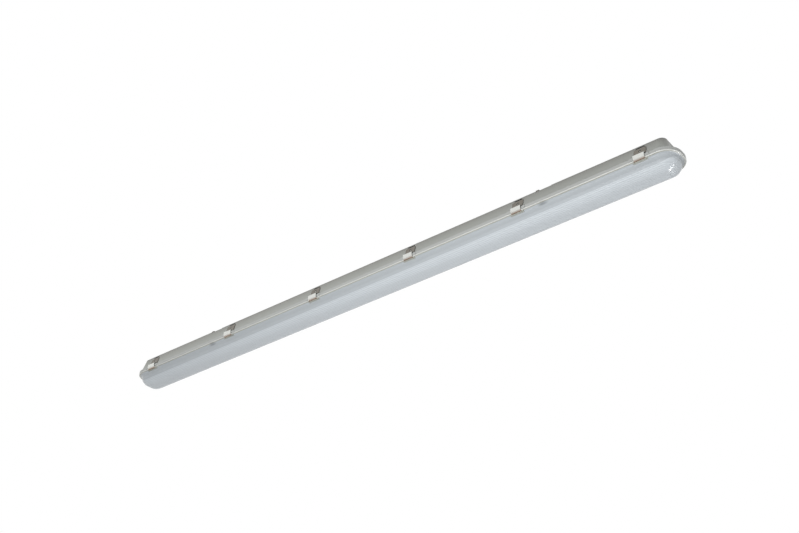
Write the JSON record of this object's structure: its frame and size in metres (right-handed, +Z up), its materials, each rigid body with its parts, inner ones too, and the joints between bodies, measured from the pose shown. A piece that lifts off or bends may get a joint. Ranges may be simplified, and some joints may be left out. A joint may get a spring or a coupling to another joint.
{
  "type": "vapor tight light fixture",
  "caption": "Long sealed ceiling light: grey drafted housing, frosted crowned cover with a gasket, sprung steel side latches, gear tray and ceiling brackets.",
  "frame": {"origin": "centre of the two ceiling screw slots, in the ceiling plane", "axes": "+X along the fixture, -Y towards the front row of latches, +Z up to the ceiling"},
  "size_m": [1.565, 0.0908, 0.0719],
  "materials": {
    "housing_grey": "moulded grey polycarbonate, fine satin",
    "foam_gasket": "poured foam, matt",
    "latch_steel": "pressed stainless sheet, half bright",
    "tray_white": "white powder coat on steel",
    "board_white": "white solder mask",
    "chip_yellow": "phosphor",
    "screw_zinc": "zinc plated",
    "connector_white": "white nylon",
    "driver_alloy": "folded sheet",
    "circuit_green": "solder mask",
    "driver_parts": "black and grey parts",
    "terminal_brass": "plain",
    "clamp_nylon": "natural nylon",
    "wire_brown": "sleeved wire",
    "wire_blue": "sleeved wire",
    "wire_green": "sleeved wire",
    "wire_red": "sleeved wire",
    "wire_black": "sleeved wire",
    "rubber_grey": "moulded rubber",
    "bracket_steel": "pressed stainless sheet",
    "cover_frosted": "frosted clear polycarbonate with fine inner ribs"
  },
  "bodies": {
    "root": {"housing": "housing_grey", "gasket": "foam_gasket", "latch_pins": "latch_steel", "gear_tray": "tray_white", "tray_rail_front": "tray_white", "tray_rail_back": "tray_white", "led_board_1": "board_white", "led_board_2": "board_white", "led_board_3": "board_white", "led_chips": "chip_yellow", "board_screws": "screw_zinc", "board_links": "connector_white", "driver_base": "driver_alloy", "driver_lid": "driver_alloy", "driver_circuit": "circuit_green", "driver_parts": "driver_parts", "driver_screws": "screw_zinc", "terminal_block": "connector_white", "terminal_clamps": "terminal_brass", "terminal_screws": "screw_zinc", "cord_clamp": "clamp_nylon", "clamp_screws": "screw_zinc", "earth_lug": "terminal_brass", "earth_screw": "screw_zinc", "wire_live": "wire_brown", "wire_neutral": "wire_blue", "wire_earth": "wire_green", "led_wire_plus": "wire_red", "led_wire_minus": "wire_black", "cable_grommet": "rubber_grey", "blanking_plug": "rubber_grey", "bracket_left": "bracket_steel", "bracket_right": "bracket_steel"},
    "cover": {"cover": "cover_frosted"},
    "latch_front_1": {"latch_front_1": "latch_steel"},
    "latch_front_2": {"latch_front_2": "latch_steel"},
    "latch_front_3": {"latch_front_3": "latch_steel"},
    "latch_front_4": {"latch_front_4": "latch_steel"},
    "latch_front_5": {"latch_front_5": "latch_steel"},
    "latch_front_6": {"latch_front_6": "latch_steel"},
    "latch_back_1": {"latch_back_1": "latch_steel"},
    "latch_back_2": {"latch_back_2": "latch_steel"},
    "latch_back_3": {"latch_back_3": "latch_steel"},
    "latch_back_4": {"latch_back_4": "latch_steel"},
    "latch_back_5": {"latch_back_5": "latch_steel"},
    "latch_back_6": {"latch_back_6": "latch_steel"},
    "toggle_front_left": {"toggle_front_left": "clamp_nylon"},
    "toggle_back_left": {"toggle_back_left": "clamp_nylon"},
    "toggle_front_right": {"toggle_front_right": "clamp_nylon"},
    "toggle_back_right": {"toggle_back_right": "clamp_nylon"}
  },
  "joints": [
    {"name": "cover_drop", "type": "slide", "parent": "root", "child": "cover", "axis": [0, 0, -1], "range_m": [0, 0.04]},
    {"name": "latch_front_1_hinge", "type": "hinge", "parent": "root", "child": "latch_front_1", "pos_m": [-0.71, -0.02939, -0.01059], "axis": [-1, 0, 0], "range_deg": [0, 75.1]},
    {"name": "latch_front_2_hinge", "type": "hinge", "parent": "root", "child": "latch_front_2", "pos_m": [-0.426, -0.02939, -0.01059], "axis": [-1, 0, 0], "range_deg": [0, 75.1]},
    {"name": "latch_front_3_hinge", "type": "hinge", "parent": "root", "child": "latch_front_3", "pos_m": [-0.142, -0.02939, -0.01059], "axis": [-1, 0, 0], "range_deg": [0, 75.1]},
    {"name": "latch_front_4_hinge", "type": "hinge", "parent": "root", "child": "latch_front_4", "pos_m": [0.142, -0.02939, -0.01059], "axis": [-1, 0, 0], "range_deg": [0, 75.1]},
    {"name": "latch_front_5_hinge", "type": "hinge", "parent": "root", "child": "latch_front_5", "pos_m": [0.426, -0.02939, -0.01059], "axis": [-1, 0, 0], "range_deg": [0, 75.1]},
    {"name": "latch_front_6_hinge", "type": "hinge", "parent": "root", "child": "latch_front_6", "pos_m": [0.71, -0.02939, -0.01059], "axis": [-1, 0, 0], "range_deg": [0, 75.1]},
    {"name": "latch_back_1_hinge", "type": "hinge", "parent": "root", "child": "latch_back_1", "pos_m": [-0.71, 0.02939, -0.01059], "axis": [1, 0, 0], "range_deg": [0, 75.1]},
    {"name": "latch_back_2_hinge", "type": "hinge", "parent": "root", "child": "latch_back_2", "pos_m": [-0.426, 0.02939, -0.01059], "axis": [1, 0, 0], "range_deg": [0, 75.1]},
    {"name": "latch_back_3_hinge", "type": "hinge", "parent": "root", "child": "latch_back_3", "pos_m": [-0.142, 0.02939, -0.01059], "axis": [1, 0, 0], "range_deg": [0, 75.1]},
    {"name": "latch_back_4_hinge", "type": "hinge", "parent": "root", "child": "latch_back_4", "pos_m": [0.142, 0.02939, -0.01059], "axis": [1, 0, 0], "range_deg": [0, 75.1]},
    {"name": "latch_back_5_hinge", "type": "hinge", "parent": "root", "child": "latch_back_5", "pos_m": [0.426, 0.02939, -0.01059], "axis": [1, 0, 0], "range_deg": [0, 75.1]},
    {"name": "latch_back_6_hinge", "type": "hinge", "parent": "root", "child": "latch_back_6", "pos_m": [0.71, 0.02939, -0.01059], "axis": [1, 0, 0], "range_deg": [0, 75.1]},
    {"name": "toggle_front_left_turn", "type": "hinge", "parent": "root", "child": "toggle_front_left", "pos_m": [-0.486, -0.022, -0.03], "axis": [0, 0, 1], "range_deg": [0, 90]},
    {"name": "toggle_back_left_turn", "type": "hinge", "parent": "root", "child": "toggle_back_left", "pos_m": [-0.486, 0.022, -0.03], "axis": [0, 0, 1], "range_deg": [0, 90]},
    {"name": "toggle_front_right_turn", "type": "hinge", "parent": "root", "child": "toggle_front_right", "pos_m": [0.486, -0.022, -0.03], "axis": [0, 0, 1], "range_deg": [0, 90]},
    {"name": "toggle_back_right_turn", "type": "hinge", "parent": "root", "child": "toggle_back_right", "pos_m": [0.486, 0.022, -0.03], "axis": [0, 0, 1], "range_deg": [0, 90]}
  ],
  "couplings": [
    {"joint": "latch_front_1_hinge", "follows": "cover_drop", "rad_per_m": 32.725},
    {"joint": "latch_front_2_hinge", "follows": "cover_drop", "rad_per_m": 32.725},
    {"joint": "latch_front_3_hinge", "follows": "cover_drop", "rad_per_m": 32.725},
    {"joint": "latch_front_4_hinge", "follows": "cover_drop", "rad_per_m": 32.725},
    {"joint": "latch_front_5_hinge", "follows": "cover_drop", "rad_per_m": 32.725},
    {"joint": "latch_front_6_hinge", "follows": "cover_drop", "rad_per_m": 32.725},
    {"joint": "latch_back_1_hinge", "follows": "cover_drop", "rad_per_m": 32.725},
    {"joint": "latch_back_2_hinge", "follows": "cover_drop", "rad_per_m": 32.725},
    {"joint": "latch_back_3_hinge", "follows": "cover_drop", "rad_per_m": 32.725},
    {"joint": "latch_back_4_hinge", "follows": "cover_drop", "rad_per_m": 32.725},
    {"joint": "latch_back_5_hinge", "follows": "cover_drop", "rad_per_m": 32.725},
    {"joint": "latch_back_6_hinge", "follows": "cover_drop", "rad_per_m": 32.725}
  ]
}
